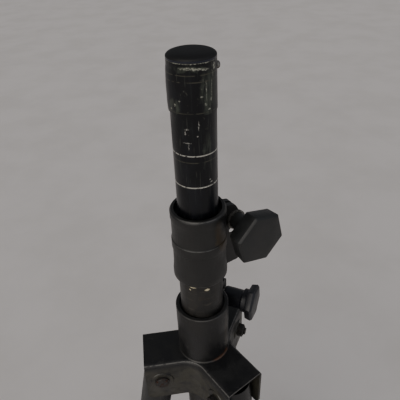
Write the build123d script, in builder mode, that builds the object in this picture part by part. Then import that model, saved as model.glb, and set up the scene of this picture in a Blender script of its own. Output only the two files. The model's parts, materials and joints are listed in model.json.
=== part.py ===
from build123d import *
import os
from math import cos, sin, radians

# Tripod pole stand: a telescoping pole in a clamp collar, and a three-lobed hub that slides on
# the main tube and spreads three braced legs.  Millimetres, +Z up, origin on the pole axis at
# floor level.  The stand is drawn nearly folded, with the legs at their closed angle.

# ---- driving dimensions -------------------------------------------------------------------
POLE_R = 17.5                 # telescoping pole, standard 35 mm (1 3/8 in)
POLE_WALL = 1.5
TUBE_R = 20.8                 # main tube
TUBE_WALL = 1.8
FIT = 0.05                    # radial play of a shaft in its bore
GAP = 0.3                     # play between faces that pass each other

LEG_R = 17.5                  # leg tube
LEG_WALL = 1.2
LEG_SPLAY = 10.0              # leg angle from vertical when closed
LEG_REACH = 790.0             # leg pivot to the centre of the foot's round end
BRACE_REACH = 310.0           # leg pivot to brace pin, and brace pin to bracket pin
FOOT_R = 22.5
LOBE_AZIMUTHS = {"left": 186.5, "right": 306.5, "rear": 66.5}

HUB_HALF_WIDTH = 22.7         # half the width of one hub lobe
HUB_REACH = 65.5              # pole axis to the open end of a lobe
HUB_SHEET = 2.5
HUB_DEPTH = 54.0              # top plate to the foot of the cheeks
WEB_CORNER = 22.0             # inside corner between two lobes
FOLD_R = 5.0
PIVOT_R = 48.5                # pole axis to a leg pivot
PIVOT_DROP = 25.5             # leg pivot below the top plate
PAD_R = 12.4                  # raised pad round each pivot hole
PAD_RISE = 1.0
BOLT_R = 4.0

SLEEVE_R = 26.3
SLEEVE_BORE = 22.6
SLEEVE_HEIGHT = 63.4
SLEEVE_TAIL = 50.0            # sleeve below the top plate
HUB_EAR_AZIMUTH = 66.5
HUB_EAR_NEAR = 9.0            # clamp plane to the knob's side of the ears, and to the nut's
HUB_EAR_FAR = 9.0
HUB_CLAMP_R = 38.0            # pole axis to the clamp screw
HUB_CLAMP_HEIGHT = 38.0
WELD = 1.3                    # bead between sleeve and plate

COLLAR_LOW = 106.0            # heights above the top plate
COLLAR_HIGH = 179.0
TUBE_TOP = 168.0
COLLAR_EAR_AZIMUTH = 32.3
COLLAR_EAR_NEAR = 8.0
COLLAR_EAR_FAR = 4.0
COLLAR_CLAMP_R = 34.0
COLLAR_CLAMP_HEIGHT = 155.5
SPLIT = 1.3                   # half the width of a clamp slot

KNOB_FACE = 45.5              # clamp plane to the face of the knob
KNOB_CORNER = 1.5
KNOB_CONE = 6.0               # height of the cone behind the grip
WASHER_R = 9.5
STUD_DEPTH = 6.0              # knob face to the end of the stud
STUD_TAIL = 8.0               # stud beyond the far ear
WASHER_GAP = 0.2
WASHER_THICK = 2.0
NUT_R = 7.5
NUT_THICK = 6.5
STUD_R = 4.0
POLE_END = 304.6              # pole end above the top plate
POLE_LENGTH = 864.6
FERRULE_LENGTH = 37.0

# ---- levels worked out from them ------------------------------------------------------------
PIVOT_Z = FOOT_R + LEG_REACH * cos(radians(LEG_SPLAY))
PLATE_Z = PIVOT_Z + PIVOT_DROP
BRACKET_Z = PIVOT_Z - 2 * BRACE_REACH * cos(radians(LEG_SPLAY))
BRACE_R = PIVOT_R + BRACE_REACH * sin(radians(LEG_SPLAY))
BRACE_Z = PIVOT_Z - BRACE_REACH * cos(radians(LEG_SPLAY))
TUBE_FOOT = BRACKET_Z - 40.0
BORE_R = TUBE_R - TUBE_WALL

EAR_INNER = 14.0              # bracket ear, inner and outer face from the lobe's mid plane
EAR_OUTER = 18.0
BAR_THICK = 3.0
BAR_WIDTH = 20.0
BAR_INNER = EAR_OUTER + GAP
SLOT_TRAVEL = 15.6            # play of the brace pin in the bracket


def outward(azimuth):
    """Unit vector that points away from the pole axis."""
    return Vector(cos(radians(azimuth)), sin(radians(azimuth)), 0)


def across(azimuth):
    """Unit vector a quarter turn on from outward."""
    return Vector(-sin(radians(azimuth)), cos(radians(azimuth)), 0)


def from_axis(point):
    """Distance of a point from the pole axis."""
    return (point.X ** 2 + point.Y ** 2) ** 0.5


def side_plane(azimuth, offset=0.0):
    """Upright plane along a lobe: x runs outward, y runs up, the normal runs against across."""
    return Plane(origin=across(azimuth) * offset, x_dir=outward(azimuth), z_dir=across(azimuth) * -1)


def screw_plane(azimuth, radius, height, along=0.0):
    """Plane square to a clamp screw; its normal points at the knob."""
    axis = across(azimuth) * -1
    origin = outward(azimuth) * radius + Vector(0, 0, height) + axis * along
    return Plane(origin=origin, x_dir=outward(azimuth), z_dir=axis)


def leg_plane(azimuth, along=0.0):
    """Plane square to a leg, so far down it from the pivot; the normal points at the foot."""
    down = outward(azimuth) * sin(radians(LEG_SPLAY)) - Vector(0, 0, cos(radians(LEG_SPLAY)))
    pivot = outward(azimuth) * PIVOT_R + Vector(0, 0, PIVOT_Z)
    return Plane(origin=pivot + down * along, x_dir=across(azimuth), z_dir=down)


def brace_plane(azimuth, offset=0.0):
    """Upright plane of a brace bar: x runs from the bracket pin to the leg pin."""
    run = outward(azimuth) * sin(radians(LEG_SPLAY)) + Vector(0, 0, cos(radians(LEG_SPLAY)))
    pin = outward(azimuth) * PIVOT_R + Vector(0, 0, BRACKET_Z) + across(azimuth) * offset
    return Plane(origin=pin, x_dir=run, z_dir=across(azimuth) * -1)


def rivet_plane(azimuth, drop):
    """Upright plane inside the pole's wall, so far below its end; the normal points outward."""
    seat = outward(azimuth) * (POLE_R - 3.0) + Vector(0, 0, PLATE_Z + POLE_END - drop)
    return Plane(origin=seat, x_dir=across(azimuth), z_dir=outward(azimuth))


def save(piece, name):
    """Label one finished piece and write it as its own STEP file."""
    piece.part.label = name
    export_step(piece.part, f"parts/{name}.step")


os.makedirs("parts", exist_ok=True)


# ---- main tube and what is fixed to it ------------------------------------------------------
with BuildPart() as main_tube:
    with BuildSketch(Plane.XY.offset(TUBE_FOOT)):
        Circle(TUBE_R)
        Circle(BORE_R, mode=Mode.SUBTRACT)
    extrude(amount=PLATE_Z + TUBE_TOP - TUBE_FOOT)
save(main_tube, "main_tube")

# End plug: a lip under the tube and a spigot up its bore.
PLUG_LIP = 4.0
PLUG_SPIGOT = 18.0
with BuildPart() as tube_end_plug:
    with BuildSketch(Plane.XY.offset(TUBE_FOOT - PLUG_LIP)):
        Circle(TUBE_R)
    extrude(amount=PLUG_LIP)
    fillet(tube_end_plug.faces().sort_by(Axis.Z)[0].edges(), 1.5)
    with BuildSketch(Plane.XY.offset(TUBE_FOOT)):
        Circle(BORE_R)
        Circle(BORE_R - 3.0, mode=Mode.SUBTRACT)
    extrude(amount=PLUG_SPIGOT)
save(tube_end_plug, "tube_end_plug")

# Collar: a turned outline with a lower lip, a rib and a mouth flange, then the split ears.
RIB_HEIGHT = 143.5
COLLAR_BODY_R = 24.0
COLLAR_LIP_R = 25.1
COLLAR_RIB_R = 24.8
COLLAR_FLANGE_R = 24.5
EAR_TIP_R = 44.5
EAR_MIDDLE = (COLLAR_EAR_FAR - COLLAR_EAR_NEAR) / 2
EAR_HALF = (COLLAR_EAR_FAR + COLLAR_EAR_NEAR) / 2
with BuildPart() as collar:
    with BuildSketch(Plane.XZ):
        with BuildLine():
            Polyline(
                (TUBE_R + FIT, PLATE_Z + COLLAR_LOW),
                (COLLAR_LIP_R - 0.5, PLATE_Z + COLLAR_LOW),
                (COLLAR_LIP_R, PLATE_Z + COLLAR_LOW + 1.0),
                (COLLAR_LIP_R, PLATE_Z + COLLAR_LOW + 6.0),
                (COLLAR_BODY_R + 0.3, PLATE_Z + COLLAR_LOW + 15.0),
                (COLLAR_BODY_R, PLATE_Z + RIB_HEIGHT - 5.0),
                (COLLAR_RIB_R, PLATE_Z + RIB_HEIGHT - 4.0),
                (COLLAR_RIB_R, PLATE_Z + RIB_HEIGHT + 4.5),
                (COLLAR_BODY_R, PLATE_Z + RIB_HEIGHT + 5.5),
                (COLLAR_BODY_R, PLATE_Z + COLLAR_HIGH - 9.0),
                (COLLAR_FLANGE_R, PLATE_Z + COLLAR_HIGH - 8.0),
                (COLLAR_FLANGE_R, PLATE_Z + COLLAR_HIGH - 2.0),
                (COLLAR_FLANGE_R - 1.3, PLATE_Z + COLLAR_HIGH),
                (TUBE_R + FIT, PLATE_Z + COLLAR_HIGH),
                close=True,
            )
        make_face()
    revolve(axis=Axis.Z)
    with BuildSketch(side_plane(COLLAR_EAR_AZIMUTH, EAR_MIDDLE)):
        with BuildLine():
            Polyline(
                (TUBE_R + 1.7, PLATE_Z + COLLAR_LOW),
                (40.0, PLATE_Z + COLLAR_LOW),
                (EAR_TIP_R + 0.5, PLATE_Z + COLLAR_LOW + 22.0),
                (EAR_TIP_R, PLATE_Z + COLLAR_CLAMP_HEIGHT - 3.5),
                (COLLAR_CLAMP_R, PLATE_Z + COLLAR_CLAMP_HEIGHT + 15.5),
                (TUBE_R + 1.7, PLATE_Z + COLLAR_HIGH - 5.0),
                close=True,
            )
        make_face()
    extrude(amount=EAR_HALF, both=True)
    tips = collar.edges().filter_by(lambda e: abs(e.length - 2 * EAR_HALF) < 0.01)
    fillet(tips.filter_by(lambda e: from_axis(e.center()) > COLLAR_LIP_R + 3), 5.0)
    # the window under the screw, and the slot that splits the ears
    with BuildSketch(side_plane(COLLAR_EAR_AZIMUTH, EAR_MIDDLE)):
        with Locations((COLLAR_CLAMP_R + 0.4, PLATE_Z + COLLAR_CLAMP_HEIGHT - 17.0)):
            SlotCenterToCenter(14.0, 5.4, rotation=-51)
    extrude(amount=EAR_HALF + 1, both=True, mode=Mode.SUBTRACT)
    with BuildSketch(side_plane(COLLAR_EAR_AZIMUTH, EAR_MIDDLE)):
        with Locations((TUBE_R, PLATE_Z + COLLAR_LOW + 8.0)):
            Rectangle(32.0, COLLAR_HIGH - COLLAR_LOW, align=(Align.MIN, Align.MIN))
    extrude(amount=SPLIT, both=True, mode=Mode.SUBTRACT)
    with BuildSketch(screw_plane(COLLAR_EAR_AZIMUTH, COLLAR_CLAMP_R, PLATE_Z + COLLAR_CLAMP_HEIGHT)):
        Circle(STUD_R + GAP)
    extrude(amount=COLLAR_EAR_NEAR + 1, both=True, mode=Mode.SUBTRACT)
    with BuildSketch(Plane.XY.offset(PLATE_Z + COLLAR_LOW - 1)):
        Circle(TUBE_R + FIT)
    extrude(amount=COLLAR_HIGH - COLLAR_LOW + 2, mode=Mode.SUBTRACT)
save(collar, "collar")

# Bush in the mouth of the tube: the pole slides in it, its flange rests on the tube.
with BuildPart() as collar_bush:
    with BuildSketch(Plane.XY.offset(PLATE_Z + TUBE_TOP - 45.0)):
        Circle(BORE_R)
    extrude(amount=45.0)
    with BuildSketch(Plane.XY.offset(PLATE_Z + TUBE_TOP)):
        Circle(TUBE_R - 0.1)
    extrude(amount=4.0)
    with BuildSketch(Plane.XY.offset(PLATE_Z + TUBE_TOP - 46.0)):
        Circle(POLE_R + FIT)
    extrude(amount=52.0, mode=Mode.SUBTRACT)
save(collar_bush, "collar_bush")

# Two rivets hold the collar's skirt to the tube.
with BuildPart() as collar_rivets:
    for azimuth in (80.0, 130.0):
        head = outward(azimuth) * COLLAR_LIP_R + Vector(0, 0, PLATE_Z + COLLAR_LOW + 3.5)
        with BuildSketch(Plane(origin=head, x_dir=across(azimuth), z_dir=outward(azimuth))):
            Circle(3.4)
        extrude(amount=1.6)
    fillet(collar_rivets.edges().sort_by(lambda e: from_axis(e.center()))[-2:], 1.0)
save(collar_rivets, "collar_rivets")

# Lower bracket: a ring pinned to the tube with three pairs of slotted ears.
BRACKET_RING = 26.5
with BuildPart() as lower_bracket:
    with BuildSketch(Plane.XY.offset(BRACKET_Z - 26.0)):
        Circle(BRACKET_RING)
    extrude(amount=38.0)
    for azimuth in LOBE_AZIMUTHS.values():
        for side in (-1, 1):
            with BuildSketch(side_plane(azimuth, side * (EAR_INNER + EAR_OUTER) / 2)):
                with Locations((40.0, BRACKET_Z - 7.0)):
                    RectangleRounded(42.0, 38.0, 6.0)
                with Locations((PIVOT_R, BRACKET_Z - SLOT_TRAVEL / 2)):
                    SlotCenterToCenter(
                        SLOT_TRAVEL + 2 * GAP, 2 * (BOLT_R + GAP), rotation=90, mode=Mode.SUBTRACT
                    )
            extrude(amount=(EAR_OUTER - EAR_INNER) / 2, both=True)
    with BuildSketch(Plane.XY.offset(BRACKET_Z - 40.0)):
        Circle(TUBE_R)
    extrude(amount=60.0, mode=Mode.SUBTRACT)
save(lower_bracket, "lower_bracket")

# Bracket screws: one between each pair of ears.
with BuildPart() as bracket_screws:
    for azimuth in LOBE_AZIMUTHS.values():
        seat = outward(azimuth + 60) * BRACKET_RING + Vector(0, 0, BRACKET_Z - 7.0)
        with BuildSketch(Plane(origin=seat, x_dir=across(azimuth + 60), z_dir=outward(azimuth + 60))):
            RegularPolygon(5.8, 6)
        extrude(amount=4.0)
save(bracket_screws, "bracket_screws")


# ---- clamp knobs: a hexagonal grip moulded on a stud, a washer and a captive nut ------------
def make_knob(azimuth, radius, height, near, grip, thick, neck, turn):
    """Hexagonal grip with a coned back and a short neck down to the washer."""
    back = KNOB_FACE - thick
    neck_start = near + WASHER_GAP + WASHER_THICK
    with BuildPart() as knob:
        with BuildSketch(screw_plane(azimuth, radius, height, back)):
            RegularPolygon(grip, 6, rotation=turn)
        extrude(amount=thick)
        fillet(knob.edges().filter_by(lambda e: abs(e.length - thick) < 0.01), KNOB_CORNER)
        faces = knob.faces().sort_by(lambda f: f.center().dot(across(azimuth) * -1))
        chamfer(faces[-1].edges(), KNOB_CORNER)
        with BuildSketch(screw_plane(azimuth, radius, height, back)):
            Circle(0.7 * grip)
        with BuildSketch(screw_plane(azimuth, radius, height, back - KNOB_CONE)):
            Circle(neck + 1.0)
        loft()
        with BuildSketch(screw_plane(azimuth, radius, height, neck_start)):
            Circle(neck)
        extrude(amount=back - KNOB_CONE - neck_start)
        with BuildSketch(screw_plane(azimuth, radius, height, near)):
            Circle(STUD_R)
        extrude(amount=KNOB_FACE - near - STUD_DEPTH, mode=Mode.SUBTRACT)
    return knob


def make_stud(azimuth, radius, height, far):
    """Plain screw from the nut, through both ears, into the knob."""
    with BuildPart() as stud:
        with BuildSketch(screw_plane(azimuth, radius, height, -far - STUD_TAIL)):
            Circle(STUD_R)
        extrude(amount=far + STUD_TAIL + KNOB_FACE - STUD_DEPTH)
        chamfer(stud.edges(), 0.6)
    return stud


def make_washer(azimuth, radius, height, near):
    """Flat washer between the ear and the knob's neck."""
    with BuildPart() as washer:
        with BuildSketch(screw_plane(azimuth, radius, height, near + WASHER_GAP)):
            Circle(WASHER_R)
            Circle(STUD_R, mode=Mode.SUBTRACT)
        extrude(amount=WASHER_THICK)
    return washer


def make_nut(azimuth, radius, height, far):
    """Hexagonal nut on the far ear."""
    with BuildPart() as nut:
        with BuildSketch(screw_plane(azimuth, radius, height, -far - NUT_THICK)):
            RegularPolygon(NUT_R, 6)
            Circle(STUD_R + FIT, mode=Mode.SUBTRACT)
        extrude(amount=NUT_THICK)
    return nut


# each clamp's screw (azimuth, distance from the pole axis, height), its ears, and its knob
# (radius across the corners, thickness, neck radius, turn)
CLAMPS = {
    "collar": ((COLLAR_EAR_AZIMUTH, COLLAR_CLAMP_R, PLATE_Z + COLLAR_CLAMP_HEIGHT),
               COLLAR_EAR_NEAR, COLLAR_EAR_FAR, (24.8, 14.0, 8.0, 45.0)),
    "hub": ((HUB_EAR_AZIMUTH, HUB_CLAMP_R, PLATE_Z + HUB_CLAMP_HEIGHT),
            HUB_EAR_NEAR, HUB_EAR_FAR, (21.4, 8.0, 9.5, -6.0)),
}
for clamp, (screw, near, far, grip) in CLAMPS.items():
    save(make_knob(*screw, near, *grip), f"{clamp}_knob")
    save(make_stud(*screw, far), f"{clamp}_knob_stud")
    save(make_washer(*screw, near), f"{clamp}_knob_washer")
    save(make_nut(*screw, far), f"{clamp}_clamp_nut")

# ---- telescoping pole -----------------------------------------------------------------------
with BuildPart() as inner_pole:
    with BuildSketch(Plane.XY.offset(PLATE_Z + POLE_END - POLE_LENGTH)):
        Circle(POLE_R)
        Circle(POLE_R - POLE_WALL, mode=Mode.SUBTRACT)
    extrude(amount=POLE_LENGTH)
save(inner_pole, "inner_pole")

# Ferrule: a thin sleeve pressed over the pole's end.
FERRULE_R = 18.0
RIVET_R = 2.2
RIVET_PLACES = ((-4.0, 9.0), (172.0, 30.0))     # azimuth, and drop below the pole's end
with BuildPart() as pole_ferrule:
    with BuildSketch(Plane.XY.offset(PLATE_Z + POLE_END - FERRULE_LENGTH)):
        Circle(FERRULE_R)
        Circle(POLE_R, mode=Mode.SUBTRACT)
    extrude(amount=FERRULE_LENGTH)
    for azimuth, drop in RIVET_PLACES:
        with BuildSketch(rivet_plane(azimuth, drop)):
            Circle(RIVET_R)
        extrude(amount=8.0, mode=Mode.SUBTRACT)
save(pole_ferrule, "pole_ferrule")

# Cap: a low dome with a spigot in the pole.
with BuildPart() as pole_cap:
    with BuildSketch(Plane.XY.offset(PLATE_Z + POLE_END)):
        Circle(FERRULE_R)
    extrude(amount=5.0)
    fillet(pole_cap.faces().sort_by(Axis.Z)[-1].edges(), 3.6)
    with BuildSketch(Plane.XY.offset(PLATE_Z + POLE_END - 22.0)):
        Circle(POLE_R - POLE_WALL)
        Circle(POLE_R - POLE_WALL - 3.0, mode=Mode.SUBTRACT)
    extrude(amount=22.0)
save(pole_cap, "pole_cap")

# Two small rivets hold the ferrule, dressed flush with it: one high on the right, one low
# on the left.
with BuildPart() as ferrule_rivets:
    for azimuth, drop in RIVET_PLACES:
        with BuildSketch(rivet_plane(azimuth, drop)):
            Circle(RIVET_R)
        extrude(amount=8.0)
    with BuildSketch(Plane.XY.offset(PLATE_Z + POLE_END - FERRULE_LENGTH)):
        Circle(FERRULE_R)
        Circle(POLE_R, mode=Mode.SUBTRACT)
    extrude(amount=FERRULE_LENGTH, mode=Mode.INTERSECT)
save(ferrule_rivets, "ferrule_rivets")

# Glide: a plastic ring on the pole's lower end that runs in the tube's bore.
GLIDE_LENGTH = 40.0
with BuildPart() as pole_glide:
    with BuildSketch(Plane.XY.offset(PLATE_Z + POLE_END - POLE_LENGTH)):
        Circle(BORE_R - FIT)
        Circle(POLE_R + FIT, mode=Mode.SUBTRACT)
    extrude(amount=GLIDE_LENGTH)
save(pole_glide, "pole_glide")


# ---- sliding hub ----------------------------------------------------------------------------
def lobed_block(level, half_width, reach, corner, depth, fold):
    """Three arms in one block, with rounded inside corners and a rounded top edge."""
    with BuildPart() as block:
        with BuildSketch(Plane.XY.offset(level)) as outline:
            with PolarLocations(0, 3, start_angle=LOBE_AZIMUTHS["left"]):
                Rectangle(reach, 2 * half_width, align=(Align.MIN, Align.CENTER))
            fillet(outline.vertices().filter_by(lambda v: from_axis(v) < 1.3 * half_width), corner)
        extrude(amount=-depth)
        rim = block.faces().sort_by(Axis.Z)[-1].edges()
        fillet(rim.filter_by(lambda e: from_axis(e.center()) < 0.9 * reach), fold)
    return block.part


hub_outside = lobed_block(PLATE_Z, HUB_HALF_WIDTH, HUB_REACH, WEB_CORNER, HUB_DEPTH, FOLD_R)
hub_inside = lobed_block(
    PLATE_Z - HUB_SHEET,
    HUB_HALF_WIDTH - HUB_SHEET,
    HUB_REACH + 10,
    WEB_CORNER + HUB_SHEET,
    HUB_DEPTH,
    FOLD_R - HUB_SHEET,
)
with BuildPart() as hub_shell:
    add(hub_outside)
    add(hub_inside, mode=Mode.SUBTRACT)
    feet = hub_shell.edges().filter_by(lambda e: abs(e.length - HUB_SHEET) < 0.01)
    fillet(feet.filter_by(lambda e: abs(e.center().Z - (PLATE_Z - HUB_DEPTH)) < 0.01), 6.0)
    # a raised pad round each pivot hole
    for azimuth in LOBE_AZIMUTHS.values():
        for side in (-1, 1):
            with BuildSketch(side_plane(azimuth, side * HUB_HALF_WIDTH)):
                with Locations((PIVOT_R, PIVOT_Z)):
                    Circle(PAD_R)
            extrude(amount=-side * PAD_RISE, taper=35)
        with BuildSketch(side_plane(azimuth)):
            with Locations((PIVOT_R, PIVOT_Z)):
                Circle(BOLT_R)
        extrude(amount=HUB_HALF_WIDTH + 5, both=True, mode=Mode.SUBTRACT)
    with BuildSketch(Plane.XY.offset(PLATE_Z - HUB_SHEET - 1)):
        Circle(SLEEVE_R)
    extrude(amount=HUB_SHEET + 2, mode=Mode.SUBTRACT)
save(hub_shell, "hub_shell")

# Sleeve: the tube through the hub, welded at the plate, split at the back between two ears.
with BuildPart() as hub_sleeve:
    with BuildSketch(Plane.XY.offset(PLATE_Z - SLEEVE_TAIL)):
        Circle(SLEEVE_R)
    extrude(amount=SLEEVE_TAIL + SLEEVE_HEIGHT)
    chamfer(hub_sleeve.faces().sort_by(Axis.Z)[-1].edges(), 0.8)
    with BuildSketch(Plane.XY.offset(PLATE_Z)):
        Circle(SLEEVE_R + WELD)
    extrude(amount=WELD, taper=38)
    with BuildSketch(side_plane(HUB_EAR_AZIMUTH)):
        with Locations((36.0, PLATE_Z + HUB_CLAMP_HEIGHT)):
            RectangleRounded(24.0, 38.0, 7.0)
    extrude(amount=HUB_EAR_NEAR, both=True)
    with BuildSketch(side_plane(HUB_EAR_AZIMUTH)):
        with Locations((36.0, PLATE_Z + SLEEVE_HEIGHT / 2 + 8.0)):
            Rectangle(32.0, SLEEVE_HEIGHT + 2.0)
    extrude(amount=SPLIT, both=True, mode=Mode.SUBTRACT)
    with BuildSketch(screw_plane(HUB_EAR_AZIMUTH, HUB_CLAMP_R, PLATE_Z + HUB_CLAMP_HEIGHT)):
        Circle(STUD_R + GAP)
    extrude(amount=HUB_EAR_NEAR + 1, both=True, mode=Mode.SUBTRACT)
    with BuildSketch(Plane.XY.offset(PLATE_Z - SLEEVE_TAIL - 1)):
        Circle(SLEEVE_BORE)
    extrude(amount=SLEEVE_TAIL + SLEEVE_HEIGHT + 2, mode=Mode.SUBTRACT)
save(hub_sleeve, "hub_sleeve")

# Liner: a plastic bush in the sleeve that runs on the main tube.
with BuildPart() as hub_liner:
    with BuildSketch(Plane.XY.offset(PLATE_Z - SLEEVE_TAIL)):
        Circle(SLEEVE_BORE)
        Circle(TUBE_R + FIT, mode=Mode.SUBTRACT)
    extrude(amount=SLEEVE_TAIL + SLEEVE_HEIGHT - 3.0)
save(hub_liner, "hub_liner")

# Pivot bolts: a low round head on one cheek, a locking nut on the other.
PAD_FACE = HUB_HALF_WIDTH + PAD_RISE
HEAD_R = 7.6
HEAD_RISE = 3.2
with BuildPart() as pivot_bolts:
    for azimuth in LOBE_AZIMUTHS.values():
        with BuildSketch(side_plane(azimuth, PAD_FACE)):
            with Locations((PIVOT_R, PIVOT_Z)):
                Circle(BOLT_R)
        extrude(amount=2 * PAD_FACE + 9.0)
        with BuildSketch(side_plane(azimuth, PAD_FACE)):
            with Locations((PIVOT_R, PIVOT_Z)):
                Circle(HEAD_R)
        extrude(amount=-HEAD_RISE, taper=15)
save(pivot_bolts, "pivot_bolts")

with BuildPart() as pivot_nuts:
    for azimuth in LOBE_AZIMUTHS.values():
        with BuildSketch(side_plane(azimuth, -PAD_FACE)):
            with Locations((PIVOT_R, PIVOT_Z)):
                RegularPolygon(NUT_R, 6)
                Circle(BOLT_R, mode=Mode.SUBTRACT)
        extrude(amount=7.0)
save(pivot_nuts, "pivot_nuts")

# ---- legs and braces, one set for each lobe -------------------------------------------------
LEG_TOP = 9.0                 # leg tube above its pivot
BUSH_R = 7.0
LEG_LOW = LEG_REACH - 8.0     # end of the tube inside the foot
FOOT_BORE = 42.0
FOOT_WALL = 4.0
BRACE_PIN_HALF = BAR_INNER + BAR_THICK
PIN_HEAD_R = 6.5
PIN_HEAD_RISE = 2.4
CHEEK_INNER = HUB_HALF_WIDTH - HUB_SHEET

for place, azimuth in LOBE_AZIMUTHS.items():
    with BuildPart() as leg:
        with BuildSketch(leg_plane(azimuth, -LEG_TOP)):
            Circle(LEG_R)
            Circle(LEG_R - LEG_WALL, mode=Mode.SUBTRACT)
        extrude(amount=LEG_TOP + LEG_LOW)
        with BuildSketch(side_plane(azimuth)):
            with Locations((PIVOT_R, PIVOT_Z)):
                Circle(BUSH_R)
            with Locations((BRACE_R, BRACE_Z)):
                Circle(BOLT_R)
        extrude(amount=LEG_R + 2, both=True, mode=Mode.SUBTRACT)
    save(leg, f"{place}_leg")

    # bush through the leg that turns on the pivot bolt and spaces the leg from both cheeks
    with BuildPart() as bush:
        with BuildSketch(side_plane(azimuth)):
            with Locations((PIVOT_R, PIVOT_Z)):
                Circle(BUSH_R)
                Circle(BOLT_R + FIT, mode=Mode.SUBTRACT)
        extrude(amount=CHEEK_INNER - GAP, both=True)
    save(bush, f"{place}_leg_bush")

    # rubber foot: a cup over the end of the leg with a round sole
    with BuildPart() as foot:
        with BuildSketch(leg_plane(azimuth, LEG_REACH - FOOT_BORE)):
            Circle(LEG_R + FOOT_WALL)
        extrude(amount=FOOT_BORE)
        with Locations(leg_plane(azimuth, LEG_REACH)):
            Sphere(FOOT_R)
        with BuildSketch(leg_plane(azimuth, LEG_REACH - FOOT_BORE - 1)):
            Circle(LEG_R)
        extrude(amount=LEG_LOW - LEG_REACH + FOOT_BORE + 1, mode=Mode.SUBTRACT)
    save(foot, f"{place}_foot")

    # rivet through the leg and both brace bars, headed outside them
    with BuildPart() as rivet:
        with BuildSketch(side_plane(azimuth)):
            with Locations((BRACE_R, BRACE_Z)):
                Circle(BOLT_R)
        extrude(amount=BRACE_PIN_HALF + GAP, both=True)
        for side in (-1, 1):
            with BuildSketch(side_plane(azimuth, side * (BRACE_PIN_HALF + GAP))):
                with Locations((BRACE_R, BRACE_Z)):
                    Circle(PIN_HEAD_R)
            extrude(amount=-side * PIN_HEAD_RISE, taper=20)
    save(rivet, f"{place}_brace_rivet")

    # two flat bars, one each side of the leg
    for side, hand in ((-1, "a"), (1, "b")):
        with BuildPart() as bar:
            with BuildSketch(brace_plane(azimuth, side * (BAR_INNER + BAR_THICK / 2))):
                with Locations((BRACE_REACH / 2, 0)):
                    SlotCenterToCenter(BRACE_REACH, BAR_WIDTH)
                with Locations((BRACE_REACH, 0)):
                    Circle(BOLT_R + FIT, mode=Mode.SUBTRACT)
                Circle(BOLT_R, mode=Mode.SUBTRACT)
            extrude(amount=BAR_THICK / 2, both=True)
        save(bar, f"{place}_brace_{hand}")

    # pin that joins the bars at the bracket and rides in its slots
    with BuildPart() as pin:
        with BuildSketch(side_plane(azimuth)):
            with Locations((PIVOT_R, BRACKET_Z)):
                Circle(BOLT_R)
        extrude(amount=BRACE_PIN_HALF, both=True)
        for side in (-1, 1):
            with BuildSketch(side_plane(azimuth, side * BRACE_PIN_HALF)):
                with Locations((PIVOT_R, BRACKET_Z)):
                    Circle(PIN_HEAD_R)
            extrude(amount=-side * PIN_HEAD_RISE, taper=20)
    save(pin, f"{place}_bracket_pin")
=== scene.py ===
import json
from math import cos, exp, pi, radians, sin, tau

import bmesh
import bpy
from mathutils import Matrix, Vector, noise


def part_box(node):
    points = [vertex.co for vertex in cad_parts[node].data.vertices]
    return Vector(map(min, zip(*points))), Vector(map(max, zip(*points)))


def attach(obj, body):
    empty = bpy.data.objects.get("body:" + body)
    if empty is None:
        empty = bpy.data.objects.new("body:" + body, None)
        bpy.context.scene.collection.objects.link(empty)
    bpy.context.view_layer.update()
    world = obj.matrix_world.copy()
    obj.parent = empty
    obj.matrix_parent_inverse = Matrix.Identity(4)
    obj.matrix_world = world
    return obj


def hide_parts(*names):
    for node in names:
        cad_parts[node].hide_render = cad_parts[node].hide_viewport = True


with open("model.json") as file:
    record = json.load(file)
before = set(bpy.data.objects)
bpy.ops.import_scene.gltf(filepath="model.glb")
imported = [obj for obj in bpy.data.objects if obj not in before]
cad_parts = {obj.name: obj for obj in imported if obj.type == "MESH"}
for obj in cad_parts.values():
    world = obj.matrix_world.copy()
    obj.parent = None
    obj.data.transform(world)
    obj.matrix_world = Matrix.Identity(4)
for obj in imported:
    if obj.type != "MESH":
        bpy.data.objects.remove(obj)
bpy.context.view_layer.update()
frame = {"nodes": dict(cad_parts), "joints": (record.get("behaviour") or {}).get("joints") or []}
MM = 0.001
nodes = frame["nodes"]
joints = {joint["name"]: joint for joint in frame["joints"]}
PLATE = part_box("hub_shell")[1].z            # top of the hub plate; heights are counted from it

# ---- Stage ----------------------------------------------------------------------------------
# A pale, matt floor with no horizon in view, a broad soft light from the front and a weaker
# one from the right.  The camera looks down at the top of the stand with a slight roll.


def linear(code):
    """Linear RGBA from an sRGB hex colour."""
    parts = [int(code[i:i + 2], 16) / 255 for i in (1, 3, 5)]
    return [p / 12.92 if p <= 0.04045 else ((p + 0.055) / 1.055) ** 2.4 for p in parts] + [1.0]


def add(tree, kind, links=None, **settings):
    """Add one node; links maps its sockets to a source socket or to a plain value."""
    made = tree.nodes.new(kind)
    for key, value in settings.items():
        setattr(made, key, value)
    for socket, source in (links or {}).items():
        if isinstance(source, bpy.types.NodeSocket):
            tree.links.new(source, made.inputs[socket])
        else:
            made.inputs[socket].default_value = source
    return made


def new_material(name, **shader_values):
    """A material with its shader and the piece's own coordinates, in metres."""
    material = bpy.data.materials.new(name)
    material.use_nodes = True
    tree = material.node_tree
    shader = tree.nodes["Principled BSDF"]
    for socket, value in shader_values.items():
        shader.inputs[socket.replace("_", " ")].default_value = value
    place = add(tree, "ShaderNodeTexCoord").outputs["Object"]
    return material, tree, shader, place


def blotches(tree, place, size, low, high, stretch=(1, 1, 1), detail=4.0, rough=0.55):
    """Mask of soft patches about `size` metres across, longer along an axis with a small stretch."""
    grid = add(tree, "ShaderNodeMapping", {"Vector": place, "Scale": stretch})
    cloud = add(tree, "ShaderNodeTexNoise", {
        "Vector": grid.outputs[0], "Scale": 1 / size, "Detail": detail, "Roughness": rough})
    return add(tree, "ShaderNodeMapRange", {
        "Value": cloud.outputs[0], "From Min": low, "From Max": high},
        interpolation_type="SMOOTHSTEP").outputs[0]


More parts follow.
